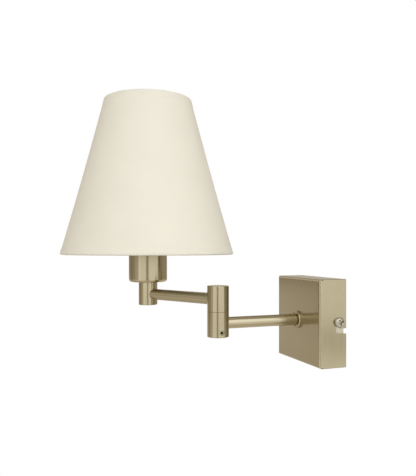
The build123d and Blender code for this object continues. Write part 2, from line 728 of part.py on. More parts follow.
# the base hem wraps the ring, so each spoke reaches the hem's inner face
spoke_end_r = ring_r - RING_WIRE_R - 1.0
spoke_solids = []
for angle in SPOKE_ANGLES:
    turn = radians(angle)
    spoke_plane = Plane(HEAD, x_dir=(cos(turn), sin(turn), 0), z_dir=(sin(turn), -cos(turn), 0))
    with BuildPart() as spoke:
        with BuildLine(spoke_plane) as spoke_path:
            FilletPolyline(
                (HUB_R + 0.05, CARRIER_Z),
                (36.0, CARRIER_Z),
                (spoke_end_r, ring_z + 1.2),
                radius=12.0,
            )
        with BuildSketch(Plane(spoke_path.line @ 0, z_dir=spoke_path.line % 0)):
            Circle(SPOKE_R)
        sweep(path=spoke_path.line)
    spoke_solids.append(spoke.part)
carrier_spokes = Compound(children=spoke_solids)

# ---- Bulb -------------------------------------------------------------------------------------

with BuildPart() as bulb_tip:
    with BuildSketch(upright(HEAD, BULB_TIP_Z)):
        Circle(2.4)
    extrude(amount=1.0)
    fillet(bulb_tip.edges().filter_by(GeomType.CIRCLE).sort_by(Axis.Z)[0], radius=0.8)

bulb_insulator = turned([(0, 64.05), (2.6, 64.05), (6.0, 66.6), (6.0, 67.6), (0, 67.6)])

CAP_TURNS = 5
CAP_LOW_Z = 67.65
CAP_CREST_R, CAP_ROOT_R = 6.95, 6.3
cap_outline = [(5.2, CAP_LOW_Z), (CAP_ROOT_R, CAP_LOW_Z)]
for cap_turn in range(CAP_TURNS):
    cap_z = CAP_LOW_Z + cap_turn * CAP_PITCH
    cap_outline += [(CAP_CREST_R, cap_z + CAP_PITCH / 2), (CAP_ROOT_R, cap_z + CAP_PITCH)]
cap_top_z = CAP_LOW_Z + CAP_TURNS * CAP_PITCH + 4.2
cap_outline += [(6.9, cap_top_z - 2.0), (6.9, cap_top_z), (5.2, cap_top_z)]
bulb_cap = turned(cap_outline)

COLLAR_TOP_Z = 103.0
globe_mouth_r = (BULB_R**2 - (BULB_CENTRE_Z - COLLAR_TOP_Z) ** 2) ** 0.5
with BuildPart() as bulb_collar:
    with BuildSketch(head_section):
        with BuildLine():
            Polyline(
                (globe_mouth_r - 1.6, COLLAR_TOP_Z),
                (3.0, COLLAR_TOP_Z),
                (3.0, CAP_LOW_Z + 6.0),
                (5.1, CAP_LOW_Z + 6.0),
                (5.1, cap_top_z + 0.05),
                (8.3, cap_top_z + 0.05),
                (8.6, HOLDER_TOP_Z + 1.5),
            )
            Spline(
                (8.6, HOLDER_TOP_Z + 1.5),
                (11.6, 95.5),
                (globe_mouth_r, COLLAR_TOP_Z),
                tangents=[(0.05, 1), (0.85, 1)],
            )
            Line((globe_mouth_r, COLLAR_TOP_Z), (globe_mouth_r - 1.6, COLLAR_TOP_Z))
        make_face()
    revolve(axis=head_axis)

GLOBE_WALL = 1.2
with BuildPart() as bulb_globe:
    with Locations(at(HEAD, BULB_CENTRE_Z)):
        Sphere(BULB_R)
        Sphere(BULB_R - GLOBE_WALL, mode=Mode.SUBTRACT)
    with BuildSketch(upright(HEAD, COLLAR_TOP_Z + 0.05)):
        Circle(2 * BULB_R)
    extrude(amount=-3 * BULB_R, mode=Mode.SUBTRACT)

with BuildPart() as led_board:
    with BuildSketch(upright(HEAD, COLLAR_TOP_Z + 0.05)):
        Circle(13.0)
    extrude(amount=1.2)

with BuildPart() as led_chips:
    with BuildSketch(upright(HEAD, COLLAR_TOP_Z + 1.3)):
        with PolarLocations(8.5, 8):
            Rectangle(3.0, 3.0)
    extrude(amount=0.7)

# ---- Internal lead ------------------------------------------------------------------------------

LEAD_BEND = 5.0
BOX_BEND_R = 6.5
lead_turn_y = -9.2
lead_end_z = -9.0

with BuildPart() as lead_rear:
    with BuildLine() as rear_path:
        FilletPolyline(
            (0, lead_turn_y, lead_end_z),
            (0, lead_turn_y, 0),
            (0, -ELBOW_REACH, 0),
            (0, -ELBOW_REACH, ELBOW_SPLIT_Z - 0.02),
            radius=[BOX_BEND_R, LEAD_BEND],
        )
    with BuildSketch(Plane(rear_path.line @ 0, z_dir=rear_path.line % 0)):
        Circle(LEAD_R)
    sweep(path=rear_path.line)

with BuildPart() as lead_front:
    with BuildLine() as front_path:
        FilletPolyline(
            at(ELBOW, ELBOW_SPLIT_Z + 0.02),
            at(ELBOW, FRONT_ARM_Z),
            at(HEAD, FRONT_ARM_Z),
            at(HEAD, 50.0),
            radius=LEAD_BEND,
        )
    with BuildSketch(Plane(front_path.line @ 0, z_dir=front_path.line % 0)):
        Circle(LEAD_R)
    sweep(path=front_path.line)

CORE_R = 0.7
core_offset = 0.75


def core_wire(x_sheath, y_sheath, x_pole):
    """One insulated core from the end of the sheath into its terminal."""
    with BuildPart() as core:
        with BuildLine() as core_path:
            FilletPolyline(
                (x_sheath, lead_turn_y + y_sheath, lead_end_z - 0.05),
                (x_sheath, lead_turn_y + y_sheath, lead_end_z - 2.2),
                (x_pole, -pole_depth, lead_end_z - 5.2),
                (x_pole, -pole_depth, BLOCK_CENTRE_Z + BLOCK_Z / 2 - 3.0),
                radius=1.6,
            )
        with BuildSketch(Plane(core_path.line @ 0, z_dir=core_path.line % 0)):
            Circle(CORE_R)
        sweep(path=core_path.line)
    return core


wire_neutral = core_wire(-core_offset, 0.4, -POLE_PITCH)
wire_earth = core_wire(0, -core_offset, 0)
wire_live = core_wire(core_offset, 0.4, POLE_PITCH)

# ---- Files --------------------------------------------------------------------------------------

built = {
    "box_cover": box_cover.part,
    "wall_bracket": wall_bracket.part,
    "side_screws": side_screws,
    "earth_washer": earth_washer.part,
    "earth_screw": earth_screw,
    "terminal_block": terminal_block.part,
    "terminal_tubes": terminal_tubes.part,
    "terminal_screws": terminal_screws.part,
    "rear_arm_tube": rear_arm_tube.part,
    "arm_collar": arm_collar.part,
    "arm_lock_washer": arm_lock_washer.part,
    "arm_lock_nut": arm_lock_nut.part,
    "lead_bush": lead_bush.part,
    "elbow_lower": elbow_lower.part,
    "elbow_upper": elbow_upper.part,
    "elbow_top_cap": elbow_top_cap.part,
    "pivot_stud": pivot_stud.part,
    "pivot_o_ring": pivot_o_ring.part,
    "pivot_washer": pivot_washer.part,
    "pivot_grub_screw": pivot_grub_screw.part,
    "front_arm_tube": front_arm_tube.part,
    "lamp_post": lamp_post.part,
    "lamp_nipple": lamp_nipple.part,
    "lamp_cup": lamp_cup.part,
    "cup_nut": cup_nut.part,
    "holder_cap": holder_cap.part,
    "holder_shell": holder_shell.part,
    "holder_core": holder_core.part,
    "thread_sleeve": thread_sleeve.part,
    "centre_contact": centre_contact.part,
    "shade_ring_lower": shade_ring_lower.part,
    "shade_ring_upper": shade_ring_upper.part,
    "carrier_hub": carrier_hub.part,
    "carrier_spokes": carrier_spokes,
    "shade_base_ring": shade_base_ring.part,
    "shade_top_ring": shade_top_ring.part,
    "shade_fabric": shade_fabric.part,
    "shade_liner": shade_liner.part,
    "shade_base_hem": shade_base_hem.part,
    "shade_top_hem": shade_top_hem.part,
    "bulb_tip": bulb_tip.part,
    "bulb_insulator": bulb_insulator.part,
    "bulb_cap": bulb_cap.part,
    "bulb_collar": bulb_collar.part,
    "bulb_globe": bulb_globe.part,
    "led_board": led_board.part,
    "led_chips": led_chips.part,
    "lead_rear": lead_rear.part,
    "lead_front": lead_front.part,
    "wire_live": wire_live.part,
    "wire_neutral": wire_neutral.part,
    "wire_earth": wire_earth.part,
}
for name, part in built.items():
    save(part, name)
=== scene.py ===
from math import atan2, cos, hypot, pi, radians, sin

import bpy
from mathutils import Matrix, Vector, noise


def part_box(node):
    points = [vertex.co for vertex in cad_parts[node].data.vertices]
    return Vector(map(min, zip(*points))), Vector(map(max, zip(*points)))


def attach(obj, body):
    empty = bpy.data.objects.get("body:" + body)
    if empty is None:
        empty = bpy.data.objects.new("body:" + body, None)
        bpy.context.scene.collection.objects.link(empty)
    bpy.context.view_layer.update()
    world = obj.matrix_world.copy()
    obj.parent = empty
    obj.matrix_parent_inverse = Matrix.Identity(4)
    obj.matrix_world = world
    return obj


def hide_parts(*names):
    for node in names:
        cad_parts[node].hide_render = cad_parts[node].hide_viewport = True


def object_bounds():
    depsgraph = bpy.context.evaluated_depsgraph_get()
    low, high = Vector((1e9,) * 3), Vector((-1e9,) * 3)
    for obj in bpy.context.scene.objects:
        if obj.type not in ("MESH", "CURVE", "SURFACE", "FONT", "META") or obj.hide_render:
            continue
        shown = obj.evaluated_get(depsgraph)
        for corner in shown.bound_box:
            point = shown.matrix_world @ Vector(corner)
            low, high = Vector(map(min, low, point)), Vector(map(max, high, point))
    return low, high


# A swing arm wall sconce: a brushed brass box, two jointed arms and a cream cloth shade.

MM = 0.001
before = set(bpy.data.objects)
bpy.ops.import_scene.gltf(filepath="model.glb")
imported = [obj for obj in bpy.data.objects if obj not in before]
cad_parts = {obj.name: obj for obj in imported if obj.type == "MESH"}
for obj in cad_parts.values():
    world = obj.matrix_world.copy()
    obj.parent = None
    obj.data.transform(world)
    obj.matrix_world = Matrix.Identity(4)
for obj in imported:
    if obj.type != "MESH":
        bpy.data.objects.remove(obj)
cad_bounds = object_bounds()

# ---- Places read from the frame ---------------------------------------------------------------


def centre(node):
    """The middle of a CAD node's box."""
    low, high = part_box(node)
    return (low + high) / 2


head = centre("lamp_cup")
elbow = centre("elbow_upper")
arm_direction = Vector((head.x - elbow.x, head.y - elbow.y, 0)).normalized()
UP = Vector((0, 0, 1))
OUT_OF_WALL = Vector((0, -1, 0))

# ---- Node helpers -----------------------------------------------------------------------------


class Nodes:
    """Short calls for building one node tree, which starts with nothing but its output."""

    def __init__(self, tree, output="ShaderNodeOutputMaterial"):
        self.tree = tree
        tree.nodes.clear()
        self.output = self.add(output)

    def add(self, kind, **settings):
        node = self.tree.nodes.new(kind)
        for key, value in settings.items():
            setattr(node, key, value)
        return node

    def link(self, source, target):
        self.tree.links.new(source, target)

    def show(self, shader):
        """Makes a shader what the tree shows, in place of any before it."""
        self.link(shader.outputs[0], self.output.inputs["Surface"])

    def feed(self, socket, value):
        """Gives a socket a number, a vector or another node's output."""
        if isinstance(value, bpy.types.NodeSocket):
            self.link(value, socket)
        else:
            socket.default_value = value

    def fed(self, node, *values):
        """Feeds a node's first sockets in order and returns its first output."""
        for socket, value in zip(node.inputs, values):
            self.feed(socket, value)
        return node.outputs[0]

    def coordinates(self, kind):
        return self.add("ShaderNodeTexCoord").outputs[kind]

    def math(self, operation, first, second=0.0):
        return self.fed(self.add("ShaderNodeMath", operation=operation), first, second)

    def plus(self, first, second):
        return self.math("ADD", first, second)

    def times(self, first, second):
        return self.math("MULTIPLY", first, second)

    def vector(self, operation, first, second=(0, 0, 0)):
        node = self.add("ShaderNodeVectorMath", operation=operation)
        self.fed(node, first, second)
        scalar = operation in ("DOT_PRODUCT", "LENGTH")
        return node.outputs["Value" if scalar else "Vector"]

    def combine(self, x, y, z):
        return self.fed(self.add("ShaderNodeCombineXYZ"), x, y, z)

    def separate(self, vector):
        node = self.add("ShaderNodeSeparateXYZ")
        self.link(vector, node.inputs[0])
        return node.outputs

    def about_axis(self, position, origin, axis):
        """How far a position is along an axis, and its offset square to the axis."""
        offset = self.vector("SUBTRACT", position, tuple(origin))
        along = self.vector("DOT_PRODUCT", offset, tuple(axis))
        on_axis = self.add("ShaderNodeVectorMath", operation="SCALE")
        on_axis.inputs[0].default_value = tuple(axis)
        self.link(along, on_axis.inputs["Scale"])
        return along, self.vector("SUBTRACT", offset, on_axis.outputs["Vector"])

    def noise(self, vector, scale, detail=2.0, roughness=0.5):
        node = self.add("ShaderNodeTexNoise", noise_dimensions="3D")
        self.feed(node.inputs["Vector"], vector)
        node.inputs["Scale"].default_value = scale
        node.inputs["Detail"].default_value = detail
        node.inputs["Roughness"].default_value = roughness
        return node.outputs["Fac"]

    def remap(self, value, low, high, to_low, to_high, kind="LINEAR"):
        """Carries a value from one range to another, and holds it at the ends."""
        node = self.add("ShaderNodeMapRange", interpolation_type=kind, clamp=True)
        return self.fed(node, value, low, high, to_low, to_high)

    def smooth(self, value, low, high, to_low=0.0, to_high=1.0):
        """Smooth step from to_low to to_high as value goes from low to high."""
        return self.remap(value, low, high, to_low, to_high, "SMOOTHSTEP")

    def mix_colour(self, factor, first, second):
        node = self.add("ShaderNodeMix", data_type="RGBA")
        self.feed(node.inputs[0], factor)
        self.feed(node.inputs[6], first)
        self.feed(node.inputs[7], second)
        return node.outputs[2]

    def bump(self, height, distance, strength):
        node = self.add("ShaderNodeBump")
        node.inputs["Strength"].default_value = strength
        node.inputs["Distance"].default_value = distance
        self.feed(node.inputs["Height"], height)
        return node.outputs["Normal"]


def srgb(red, green, blue):
    """A linear colour from 0-255 screen values."""

    def channel(value):
        value = value / 255
        return value / 12.92 if value <= 0.04045 else ((value + 0.055) / 1.055) ** 2.4

    return (channel(red), channel(green), channel(blue), 1.0)


def darker(colour, share):
    """The colour with each channel cut to a share of itself."""
    return tuple(channel * share for channel in colour[:3]) + (1.0,)


def new_material(name, kind="ShaderNodeBsdfPrincipled"):
    """A material that shows one shader: returns (material, nodes, shader)."""
    material = bpy.data.materials.new(name)
    material.use_nodes = True
    nodes = Nodes(material.node_tree)
    shader = nodes.add(kind)
    nodes.show(shader)
    return material, nodes, shader


def set_sockets(shader, values):
    """Sets what is the same all over a surface, on the shader's own sockets."""
    for socket, value in values.items():
        shader.inputs[socket].default_value = value


NOISE_LOW, NOISE_HIGH = 0.3, 0.7  # nearly all of a noise texture lies between these


def texture_surface(nodes, shader, grain, roughness, spread, depth, strength):
    """The grain as a bump, and a roughness that goes a share either way with it."""
    low, high = roughness * (1 - spread), roughness * (1 + spread)
    nodes.link(nodes.remap(grain, NOISE_LOW, NOISE_HIGH, low, high), shader.inputs["Roughness"])
    nodes.link(nodes.bump(grain, depth, strength), shader.inputs["Normal"])


# ---- Metals -----------------------------------------------------------------------------------

BRASS = (0.46, 0.407, 0.269, 1.0)
BRASS_DARK = (0.44, 0.384, 0.25, 1.0)
# painted shade: the dark colour put in the grub screw's recessed key socket
PAINTED_SOCKET_SHADE = (0.06, 0.047, 0.03, 1.0)
SOCKET_ROUGHNESS = 0.6
SCREW_ROUGHNESS = 0.22
LACQUER = {"Coat Weight": 0.15, "Coat Roughness": 0.2, "Coat IOR": 1.5}
MARKS_SHARE = 0.6  # of the brass's change of tone; the rest comes from wider patches
MARK_DEPTH = 0.004 * MM
GRAIN_DEPTH = 0.01 * MM
TURNED_MARKS = 3500.0  # brush marks per metre, counted across them
TURNED_BREAKS = 90.0  # how often a mark breaks off, per metre of its run
BOX_MARKS = 900.0  # the same two for the box, which is brushed more coarsely
BOX_BREAKS = 20.0


def constant_tangent(nodes, shader, direction):
    """Spreads reflections along a direction fixed to the object, across its brush marks."""
    spaces = {"convert_from": "OBJECT", "convert_to": "WORLD"}
    turn = nodes.add("ShaderNodeVectorTransform", vector_type="VECTOR", **spaces)
    turn.inputs[0].default_value = tuple(direction)
    nodes.link(turn.outputs[0], shader.inputs["Tangent"])


def brass_surface(name, grain, smear, roughness, anisotropy):
    """Brushed antique brass under lacquer.

    grain(nodes, position) gives the coordinates that the brush marks follow, and smear is the
    direction across them, in which they draw out reflections.
    """
    material, nodes, shader = new_material(name)
    position = nodes.coordinates("Object")
    marks = nodes.noise(grain(nodes, position), scale=1.0, roughness=0.55)
    patches = nodes.noise(position, scale=45.0)
    shade = nodes.plus(nodes.times(marks, MARKS_SHARE), nodes.times(patches, 1 - MARKS_SHARE))
    colour = nodes.mix_colour(nodes.smooth(shade, 0.35, 0.65), BRASS_DARK, BRASS)
    nodes.link(colour, shader.inputs["Base Color"])
    texture_surface(nodes, shader, marks, roughness, spread=0.08, depth=MARK_DEPTH, strength=0.25)
    constant_tangent(nodes, shader, smear)
    set_sockets(shader, {"Metallic": 1.0, "Anisotropic": anisotropy, **LACQUER})
    return material


def turned_grain(origin, axis):
    """Marks that run round an axis, as a lathe or a belt leaves them on a round bar."""

    def grain(nodes, position):
        along, across = nodes.about_axis(position, origin, axis)
        radius = nodes.vector("LENGTH", across)
        breaks = nodes.vector("MULTIPLY", across, (TURNED_BREAKS, TURNED_BREAKS, TURNED_BREAKS))
        marks = nodes.combine(nodes.times(along, TURNED_MARKS), nodes.times(radius, TURNED_MARKS), 0.0)
        return nodes.vector("ADD", breaks, marks)

    return grain


def upright_grain(nodes, position):
    """Marks that run up the box's walls, and into the wall on its top and bottom."""
    x, y, z = nodes.separate(position)
    facing_up = nodes.math("ABSOLUTE", nodes.separate(nodes.coordinates("Normal"))[2])
    on_side = nodes.smooth(facing_up, 0.6, 0.8, 1.0, 0.0)
    return nodes.combine(
        nodes.times(x, BOX_MARKS),
        nodes.plus(nodes.times(nodes.times(y, BOX_MARKS), on_side), nodes.times(y, BOX_BREAKS)),
        nodes.times(z, BOX_BREAKS),
    )


def screw_with_painted_socket_shade(name, origin, axis, socket_r):
    """Brass with painted shade near the axis, darkening the recessed socket where the key fits."""
    material, nodes, shader = new_material(name)
    _, across = nodes.about_axis(nodes.coordinates("Object"), origin, axis)
    # rim is 0 in the socket, where shade is painted, and 1 on the brass round it
    rim = nodes.smooth(nodes.vector("LENGTH", across), socket_r * 0.95, socket_r * 1.1)
    rough = nodes.remap(rim, 0.0, 1.0, SOCKET_ROUGHNESS, SCREW_ROUGHNESS)
    nodes.link(nodes.mix_colour(rim, PAINTED_SOCKET_SHADE, BRASS), shader.inputs["Base Color"])
    nodes.link(rough, shader.inputs["Roughness"])
    set_sockets(shader, {"Metallic": 1.0})
    return material


def plain_metal(name, colour, roughness):
    """A plated or bare metal with a fine random grain."""
    material, nodes, shader = new_material(name)
    position = nodes.coordinates("Object")
    grain = nodes.noise(position, scale=900.0, detail=3.0)
    patches = nodes.noise(position, scale=140.0)
    nodes.link(nodes.mix_colour(patches, darker(colour, share=0.86), colour), shader.inputs["Base Color"])
    texture_surface(nodes, shader, grain, roughness, spread=0.2, depth=GRAIN_DEPTH, strength=0.4)
    set_sockets(shader, {"Metallic": 1.0})
    return material


# ---- Plastics, coats and rubber ---------------------------------------------------------------

SCATTER = 4 * MM  # how far light goes inside a translucent plastic


def plain_plastic(name, colour, roughness, translucency=0.0):
    """A moulded plastic, or a coat, with a fine texture."""
    material, nodes, shader = new_material(name)
    position = nodes.coordinates("Object")
    grain = nodes.noise(position, scale=2200.0)
    patches = nodes.noise(position, scale=80.0)
    nodes.link(nodes.mix_colour(patches, darker(colour, share=0.93), colour), shader.inputs["Base Color"])
    texture_surface(nodes, shader, grain, roughness, spread=0.1, depth=GRAIN_DEPTH, strength=0.3)
    scatter = (SCATTER, SCATTER, SCATTER)
    set_sockets(
        shader,
        {"Subsurface Weight": translucency, "Subsurface Radius": scatter, "Subsurface Scale": 1.0},
    )
    return material


# ---- Shade fabric -----------------------------------------------------------------------------

CLOTH = 0.5 * MM
LINING = 0.4 * MM
GLUE = 0.05 * MM
HEM = 0.5 * MM  # the cloth's fold stands this far past the panel at each rim
WAIST = 0.6 * MM  # how far the sides are drawn in between the rings
TUCK = 9 * MM  # how far the cloth is turned in at each rim
TUCK_END_DEPTH = 1.125 * MM  # under the cone's face, the waist included

shade_low, shade_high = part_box("shade_fabric")
hem_low, hem_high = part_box("shade_top_hem")
panel_base_r = (shade_high.x - shade_low.x) / 2
tuck_r = (hem_high.x - hem_low.x) / 2  # the top hem is widest where its tuck ends, inside the shade
cone_angle = atan2(panel_base_r - tuck_r, shade_high.z - shade_low.z)
for _ in range(12):  # the rims' radii and the slope depend on each other
    base_r = panel_base_r + HEM * sin(cone_angle)
    top_r = tuck_r - TUCK * sin(cone_angle) + TUCK_END_DEPTH * cos(cone_angle)
    base_z = shade_low.z - (HEM * cos(cone_angle) - CLOTH * sin(cone_angle))
    top_z = shade_high.z + HEM * cos(cone_angle)
    cone_angle = atan2(base_r - top_r, top_z - base_z)
slant = hypot(base_r - top_r, top_z - base_z)

THREAD_WANDER = 3.5 * MM  # a thread strays from its straight line by up to this
SLUB_RUN = 1.5  # thick threads: how quickly they change round the shade, per radian
SLUB_ROWS = 700.0  # and up it, per metre
SLUB_SHARE = 0.8  # how high a thick thread stands beside the weave


def fabric(name, colour, thread, weave_depth, translucency):
    """A plain woven cloth on a cone: threads run up the slant and round it."""
    material, nodes, shader = new_material(name)
    position = nodes.coordinates("Object")
    local = nodes.vector("SUBTRACT", position, (head.x, head.y, 0.0))
    x, y, z = nodes.separate(local)
    angle = nodes.math("ARCTAN2", y, x)
    mean_r = (base_r + top_r) / 2
    wobble = nodes.times(nodes.noise(local, scale=45.0, detail=3.0), THREAD_WANDER)
    warp = nodes.plus(nodes.times(angle, mean_r), wobble)
    weft = nodes.plus(z, wobble)
    wave = 2 * pi / thread
    warp_wave = nodes.math("SINE", nodes.times(warp, wave))
    weft_wave = nodes.math("SINE", nodes.times(weft, wave))
    over_under = nodes.times(warp_wave, weft_wave)
    slub_place = nodes.combine(nodes.times(angle, SLUB_RUN), 0.0, nodes.times(z, SLUB_ROWS))
    slub = nodes.noise(slub_place, scale=2.0)
    height = nodes.plus(over_under, nodes.times(slub, SLUB_SHARE))
    tone = nodes.plus(nodes.times(height, 0.25), nodes.noise(local, scale=35.0, detail=4.0))
    shade = nodes.mix_colour(nodes.smooth(tone, 0.2, 1.1), darker(colour, share=0.955), colour)
    nodes.link(shade, shader.inputs["Base Color"])
    nodes.link(nodes.bump(height, weave_depth, strength=0.35), shader.inputs["Normal"])
    set_sockets(
        shader,
        {"Roughness": 0.85, "Specular IOR Level": 0.25, "Sheen Weight": 0.1, "Sheen Roughness": 0.4},
    )
    back = nodes.add("ShaderNodeBsdfTranslucent")
    back.inputs["Color"].default_value = colour
    mixed = nodes.add("ShaderNodeMixShader")
    mixed.inputs[0].default_value = translucency
    nodes.link(shader.outputs[0], mixed.inputs[1])
    nodes.link(back.outputs[0], mixed.inputs[2])
    nodes.show(mixed)
    return material


# ---- Finish of each carried-over CAD node -----------------------------------------------------

TURNED = {"roughness": 0.2, "anisotropy": 0.6}
BRUSHED_BY_HAND = {"roughness": 0.32, "anisotropy": 0.3}
BRUSHED_FLAT = {"roughness": 0.21, "anisotropy": 0.8}
ACROSS_BOX = Vector((1.0, 0.25, 0.0))  # across its marks: along X on the front and Y on the sides
SCREW_AXIS = Vector((1, 0, 0))
SCREW_SOCKET_R = 1.2 * MM

elbow_brass = brass_surface("elbow brass", turned_grain(elbow, UP), UP, **TURNED)
head_brass = brass_surface("head brass", turned_grain(head, UP), UP, **TURNED)
rear_tube_grain = turned_grain(Vector((0, 0, 0)), OUT_OF_WALL)
rear_tube_brass = brass_surface("rear tube brass", rear_tube_grain, OUT_OF_WALL, **TURNED)
front_tube_grain = turned_grain(centre("front_arm_tube"), arm_direction)
front_tube_brass = brass_surface("front tube brass", front_tube_grain, arm_direction, **BRUSHED_BY_HAND)
box_brass = brass_surface("box brass", upright_grain, ACROSS_BOX, **BRUSHED_FLAT)
# the grub screw's socket gets painted shade, not a colour of its own
grub_brass = screw_with_painted_socket_shade("grub screw", centre("pivot_grub_screw"), SCREW_AXIS, SCREW_SOCKET_R)
zinc = plain_metal("zinc plate", srgb(203, 197, 176), 0.38)
nickel = plain_metal("nickel plate", srgb(184, 178, 160), 0.08)
bright_brass = plain_metal("bright brass", srgb(214, 186, 118), 0.25)
cap_metal = plain_metal("cap metal", srgb(212, 210, 204), 0.22)
board_metal = plain_metal("board aluminium", srgb(226, 226, 222), 0.45)
white_coat = plain_plastic("white powder coat", srgb(236, 235, 230), 0.4)
holder_black = plain_plastic("lampholder plastic", srgb(36, 36, 36), 0.35)
block_clear = plain_plastic("terminal plastic", srgb(222, 222, 214), 0.4, 0.3)
bulb_white = plain_plastic("bulb plastic", srgb(236, 236, 234), 0.25)
opal = plain_plastic("opal globe", srgb(244, 243, 239), 0.3, 0.5)
insulator_black = plain_plastic("cap insulator", srgb(30, 30, 34), 0.15)
phosphor = plain_plastic("phosphor", srgb(232, 214, 120), 0.3)
rubber = plain_plastic("rubber", srgb(30, 30, 30), 0.7)
nylon = plain_plastic("nylon", srgb(52, 48, 42), 0.5)
sheath = plain_plastic("lead sheath", srgb(226, 226, 222), 0.4)
core_brown = plain_plastic("brown core", srgb(110, 64, 40), 0.4)
core_blue = plain_plastic("blue core", srgb(52, 104, 176), 0.4)
core_green = plain_plastic("green core", srgb(96, 160, 60), 0.4)

finishes = {
    box_brass: ["box_cover"],
    rear_tube_brass: ["rear_arm_tube", "arm_collar"],
    front_tube_brass: ["front_arm_tube"],
    elbow_brass: ["elbow_lower", "elbow_upper", "elbow_top_cap"],
    grub_brass: ["pivot_grub_screw"],
    head_brass: ["lamp_post", "lamp_cup"],
    zinc: [
        "wall_bracket",
        "earth_washer",
        "earth_screw",
        "terminal_screws",
        "arm_lock_washer",
        "arm_lock_nut",
    ],
    nickel: ["side_screws"],
    bright_brass: [
        "terminal_tubes",
        "pivot_stud",
        "lamp_nipple",
        "cup_nut",
        "thread_sleeve",
        "centre_contact",
    ],
    cap_metal: ["bulb_cap", "bulb_tip"],
    board_metal: ["led_board"],
    white_coat: ["carrier_hub", "carrier_spokes", "shade_base_ring", "shade_top_ring"],
    holder_black: ["holder_cap", "holder_shell", "holder_core", "shade_ring_lower", "shade_ring_upper"],
    block_clear: ["terminal_block"],
    bulb_white: ["bulb_collar"],
    opal: ["bulb_globe"],
    insulator_black: ["bulb_insulator"],
    phosphor: ["led_chips"],
    rubber: ["pivot_o_ring"],
    nylon: ["lead_bush", "pivot_washer"],
    sheath: ["lead_rear", "lead_front"],
    core_brown: ["wire_live"],
    core_blue: ["wire_neutral"],
    core_green: ["wire_earth"],
}


def paint(node, material):
    """Puts one material on a carried-over CAD node."""
    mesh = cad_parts[node].data
    mesh.materials.clear()
    mesh.materials.append(material)


for material, nodes_painted in finishes.items():
    for node_painted in nodes_painted:
        paint(node_painted, material)

# ---- Shade pieces -----------------------------------------------------------------------------

CREAM = (0.757, 0.723, 0.616, 1.0)
THREAD = 0.7 * MM
WEAVE_DEPTH = 0.05 * MM
CLOTH_TRANSLUCENCY = 0.2
shade_cloth_material = fabric("shade cloth", CREAM, THREAD, WEAVE_DEPTH, CLOTH_TRANSLUCENCY)
lining_material = plain_plastic("shade lining", srgb(240, 238, 230), 0.6)


def on_cone(along, depth):
    """Radius and height this far up the slant from the base rim and this deep under the outer face."""
    part_way = along / slant
    inward = depth + 4 * WAIST * part_way * (1 - part_way)
    radius = base_r - along * sin(cone_angle) - inward * cos(cone_angle)
    height = base_z + along * cos(cone_angle) - inward * sin(cone_angle)
    return radius, height


def smooth_step(value, low, high):
    part = min(max((value - low) / (high - low), 0.0), 1.0)
    return part * part * (3 - 2 * part)


TUCK_MARK = 5.6 * MM  # where the turned-in cloth ends under the outer layer
TUCK_LIFT = 0.14 * MM
TUCK_BLEND = 0.4 * MM  # the step's width, either way
RIPPLE_HEIGHT = 0.08 * MM
RIPPLE_LENGTH = 40 * MM  # up the slant
RIPPLES_ROUND = 4  # the radius of a turn round the shade, in ripples
SHARP_ANGLE = radians(50)


def cloth_relief(turn, along):
    """Slight unevenness of cloth glued by hand, and the extra layers of the hems."""
    point = Vector((RIPPLES_ROUND * cos(turn), RIPPLES_ROUND * sin(turn), along / RIPPLE_LENGTH))
    ripple = RIPPLE_HEIGHT * noise.noise(point)
    from_rim = min(along, slant - along)
    past_tuck = smooth_step(from_rim, TUCK_MARK - TUCK_BLEND, TUCK_MARK + TUCK_BLEND)
    return ripple + TUCK_LIFT * (1 - past_tuck)


def smooth_piece(name, vertices, faces, material):
    """A mesh object, smooth except where it turns sharply."""
    mesh = bpy.data.meshes.new(name)
    mesh.from_pydata(vertices, [], faces)
    mesh.polygons.foreach_set("use_smooth", [True] * len(faces))
    mesh.set_sharp_from_angle(angle=SHARP_ANGLE)
    mesh.materials.append(material)
    piece = bpy.data.objects.new(name, mesh)
    bpy.context.scene.collection.objects.link(piece)
    return piece


def place_on_cone(turn, along, depth):
    """A point in the frame, from its angle about the lamp's axis and its place on the slant."""
    radius, height = on_cone(along, depth)
    return (head.x + radius * cos(turn), head.y + radius * sin(turn), height)


TURNS = 240


def lathe(name, outline, material, relief=None):
    """A closed ring: the outline's points in (along the slant, depth) carried round the head's axis."""
    vertices = []
    for step in range(TURNS):
        turn = 2 * pi * step / TURNS
        for along, depth in outline:
            lift = relief(turn, along) if relief else 0.0
            vertices.append(place_on_cone(turn, along, depth - lift))
    count = len(outline)
    faces = []
    for step in range(TURNS):
        here, after = step * count, (step + 1) % TURNS * count
        for index in range(count):
            following = (index + 1) % count
            faces.append((here + index, after + index, after + following, here + following))
    return smooth_piece(name, vertices, faces, material)


FIRST_ROW = 2.5 * MM  # the first row past the rim
STEP_ROWS = 0.25 * MM  # between rows where the tuck's edge shows through
PLAIN_FROM = 12 * MM  # where the widely spaced rows begin, from either rim
PLAIN_ROWS = 30


def rows_up_the_slant():
    """Distances up the slant: close together over the hems' edges, wider between them."""
    tuck_edge = [TUCK_MARK + step * STEP_ROWS for step in range(-3, 4)]
    near_rim = [HEM, FIRST_ROW] + tuck_edge + [TUCK]
    middle = [PLAIN_FROM + (slant - 2 * PLAIN_FROM) * row / PLAIN_ROWS for row in range(PLAIN_ROWS + 1)]
    return near_rim + middle + [slant - along for along in reversed(near_rim)]


def band_outline(outer, thickness):
    """The closed outline of a thin band from rim to rim."""
    rising = [(along, outer) for along in rows_up_the_slant()]
    falling = [(along, outer + thickness) for along, _ in reversed(rising)]
    return rising + falling


shade_cloth = lathe("shade_cloth", band_outline(0.0, CLOTH), shade_cloth_material, cloth_relief)
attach(shade_cloth, "front_arm")
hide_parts("shade_fabric")

LINING_GAP = 0.15 * MM  # the film's face stays this far behind the glue, clear of the cloth's ripples
lining_outline = band_outline(CLOTH + GLUE + LINING_GAP, LINING - LINING_GAP)
shade_lining = lathe("shade_lining", lining_outline, lining_material)
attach(shade_lining, "front_arm")
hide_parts("shade_liner")


